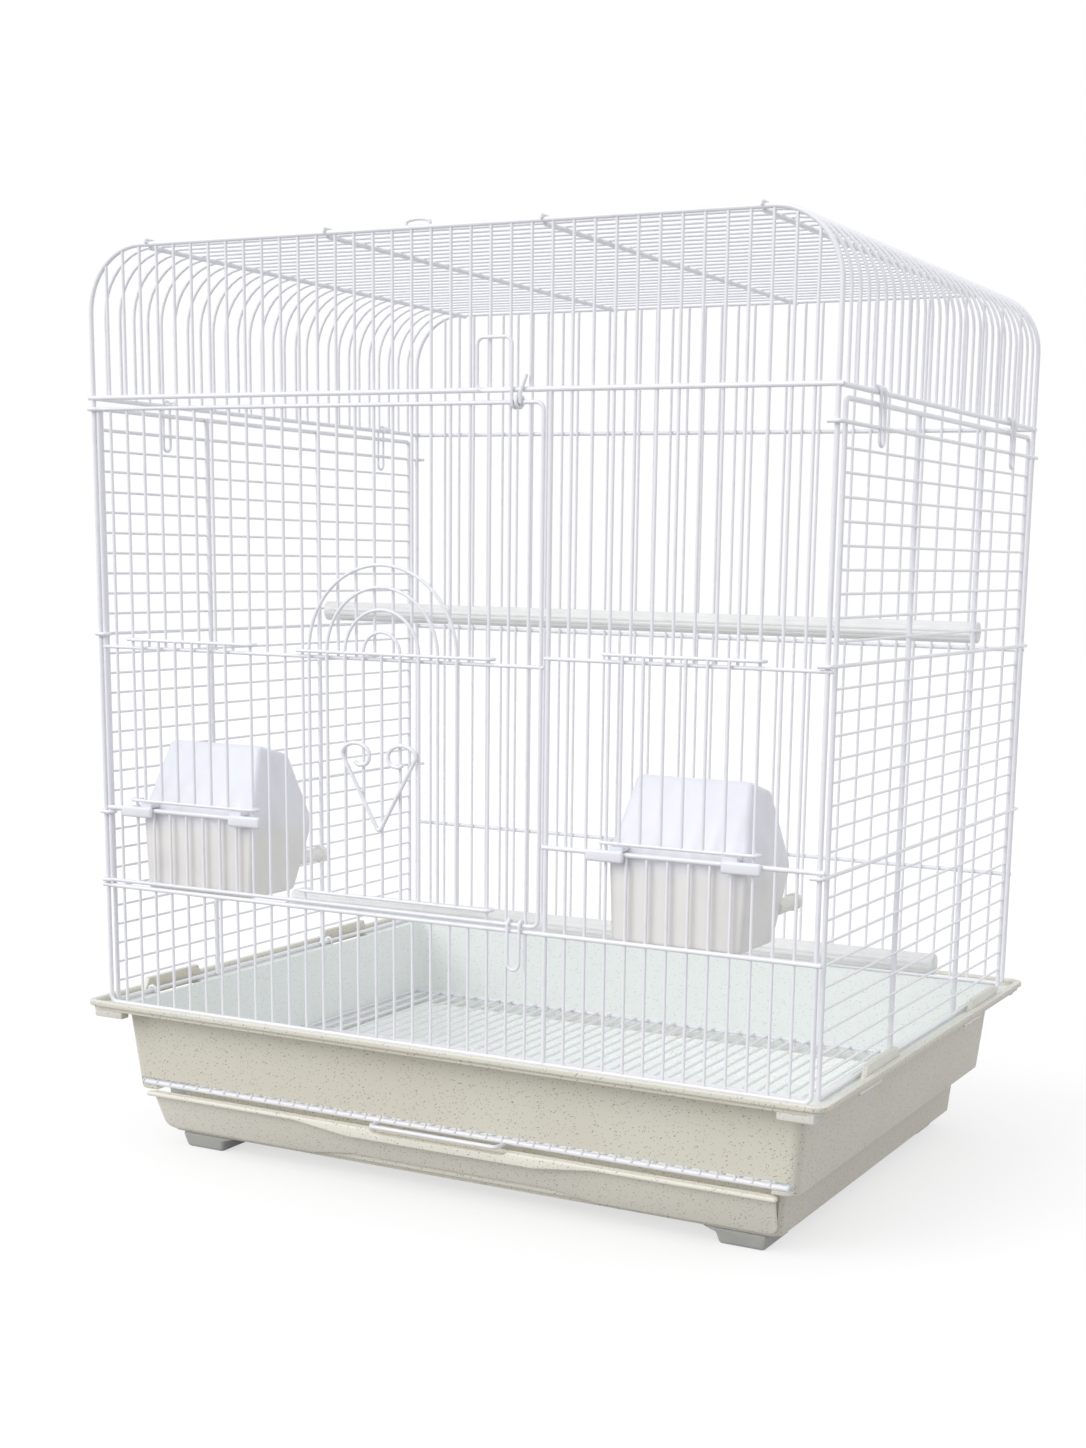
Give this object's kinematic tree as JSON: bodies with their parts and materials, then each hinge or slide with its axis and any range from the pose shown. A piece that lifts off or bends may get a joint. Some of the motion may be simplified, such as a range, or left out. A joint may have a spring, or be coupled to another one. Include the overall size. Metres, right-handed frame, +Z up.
{
  "type": "flat top bird cage",
  "caption": "Flat-topped wire bird cage on a plastic tub with a litter drawer and floor grate, a hinged front door, sliding doors, hooded cups and perches.",
  "frame": {"origin": "on the floor under the middle of the tub", "axes": "+Z up, -Y towards the doors, +X to the right as seen from the doors"},
  "size_m": [0.4576, 0.35, 0.5115],
  "materials": {
    "white_wire": "white powder coat",
    "cream_plastic": "cream with fine dark speckles",
    "cup_plastic": "white, slightly translucent",
    "perch_plastic": "white, ribbed",
    "foot_plastic": "grey"
  },
  "bodies": {
    "cage": {"back_panel": "white_wire", "back_rail_hood": "white_wire", "back_rail_lower": "white_wire", "back_rail_mid": "white_wire", "base_tub": "cream_plastic", "cup_peg_right": "cream_plastic", "door_hinge_post": "white_wire", "feeder_cup_right": "cup_plastic", "foot_1": "foot_plastic", "foot_2": "foot_plastic", "foot_3": "foot_plastic", "foot_4": "foot_plastic", "front_cup_sill": "white_wire", "front_hood_panel": "white_wire", "front_inner_strip": "white_wire", "front_lower_panel": "white_wire", "front_outer_strip": "white_wire", "front_upper_panel": "white_wire", "hanging_loop": "white_wire", "lower_perch": "perch_plastic", "roof_panel": "white_wire", "roof_support_1": "white_wire", "roof_support_2": "white_wire", "roof_support_3": "white_wire", "roof_support_4": "white_wire", "side_panel_left": "white_wire", "side_panel_right": "white_wire", "side_post_left_1": "white_wire", "side_post_left_2": "white_wire", "side_post_right_1": "white_wire", "side_post_right_2": "white_wire", "upper_perch": "perch_plastic"},
    "big_door": {"door_upper_panel": "white_wire", "door_left_strip": "white_wire", "door_cup_sill": "white_wire", "door_middle_strip": "white_wire", "door_sill": "white_wire", "door_right_strip": "white_wire", "feeder_cup_left": "cup_plastic", "cup_peg_left": "cream_plastic"},
    "small_door": {"small_door": "white_wire", "heart_ornament": "white_wire"},
    "feeder_door_left": {"feeder_door_left": "white_wire"},
    "feeder_door_right": {"feeder_door_right": "white_wire"},
    "top_latch": {"top_latch": "white_wire"},
    "bottom_latch": {"bottom_latch": "white_wire"},
    "floor_grate": {"floor_grate": "white_wire", "grate_cross_bar": "white_wire", "grate_handle": "white_wire"},
    "drawer": {"drawer": "cream_plastic"},
    "hood_clip_1": {"hood_clip_1": "white_wire"},
    "base_hook_1": {"base_hook_1": "white_wire"},
    "hood_clip_2": {"hood_clip_2": "white_wire"},
    "base_hook_2": {"base_hook_2": "white_wire"},
    "hood_clip_3": {"hood_clip_3": "white_wire"},
    "base_hook_3": {"base_hook_3": "white_wire"},
    "hood_clip_4": {"hood_clip_4": "white_wire"},
    "base_hook_4": {"base_hook_4": "white_wire"}
  },
  "joints": [
    {"name": "big_door_hinge", "type": "hinge", "parent": "cage", "child": "big_door", "pos_m": [-0.21755, -0.1638, 0.1612], "axis": [0, 0, -1], "range_deg": [0, 120]},
    {"name": "small_door_slide", "type": "slide", "parent": "big_door", "child": "small_door", "axis": [0, 0, 1], "range_m": [0, 0.115]},
    {"name": "feeder_door_left_slide", "type": "slide", "parent": "big_door", "child": "feeder_door_left", "axis": [0, 0, 1], "range_m": [0, 0.082]},
    {"name": "feeder_door_right_slide", "type": "slide", "parent": "cage", "child": "feeder_door_right", "axis": [0, 0, 1], "range_m": [0, 0.086]},
    {"name": "top_latch_hinge", "type": "hinge", "parent": "big_door", "child": "top_latch", "pos_m": [0.048, -0.1638, 0.422], "axis": [1, 0, 0], "range_deg": [0, 110]},
    {"name": "bottom_latch_hinge", "type": "hinge", "parent": "big_door", "child": "bottom_latch", "pos_m": [0.048, -0.1638, 0.1612], "axis": [-1, 0, 0], "range_deg": [0, 70]},
    {"name": "floor_grate_slide", "type": "slide", "parent": "cage", "child": "floor_grate", "axis": [0, -1, 0], "range_m": [0, 0.2]},
    {"name": "drawer_slide", "type": "slide", "parent": "cage", "child": "drawer", "axis": [0, -1, 0], "range_m": [0, 0.28]},
    {"name": "hood_clip_1_hinge", "type": "hinge", "parent": "cage", "child": "hood_clip_1", "pos_m": [0.21755, -0.11115, 0.428], "axis": [0, -1, 0], "range_deg": [0, 100]},
    {"name": "hood_clip_2_hinge", "type": "hinge", "parent": "cage", "child": "hood_clip_2", "pos_m": [0.21755, 0.11115, 0.428], "axis": [0, -1, 0], "range_deg": [0, 100]},
    {"name": "hood_clip_3_hinge", "type": "hinge", "parent": "cage", "child": "hood_clip_3", "pos_m": [-0.21755, -0.09945, 0.428], "axis": [0, 1, 0], "range_deg": [0, 100]},
    {"name": "hood_clip_4_hinge", "type": "hinge", "parent": "cage", "child": "hood_clip_4", "pos_m": [-0.21755, 0.12285, 0.428], "axis": [0, 1, 0], "range_deg": [0, 100]},
    {"name": "base_hook_1_hinge", "type": "hinge", "parent": "cage", "child": "base_hook_1", "pos_m": [0.21755, -0.0685, 0.0893], "axis": [0, -1, 0], "range_deg": [0, 45]},
    {"name": "base_hook_2_hinge", "type": "hinge", "parent": "cage", "child": "base_hook_2", "pos_m": [0.21755, 0.113, 0.0893], "axis": [0, -1, 0], "range_deg": [0, 45]},
    {"name": "base_hook_3_hinge", "type": "hinge", "parent": "cage", "child": "base_hook_3", "pos_m": [-0.21755, 0.0685, 0.0893], "axis": [0, 1, 0], "range_deg": [0, 45]},
    {"name": "base_hook_4_hinge", "type": "hinge", "parent": "cage", "child": "base_hook_4", "pos_m": [-0.21755, -0.113, 0.0893], "axis": [0, 1, 0], "range_deg": [0, 45]}
  ]
}
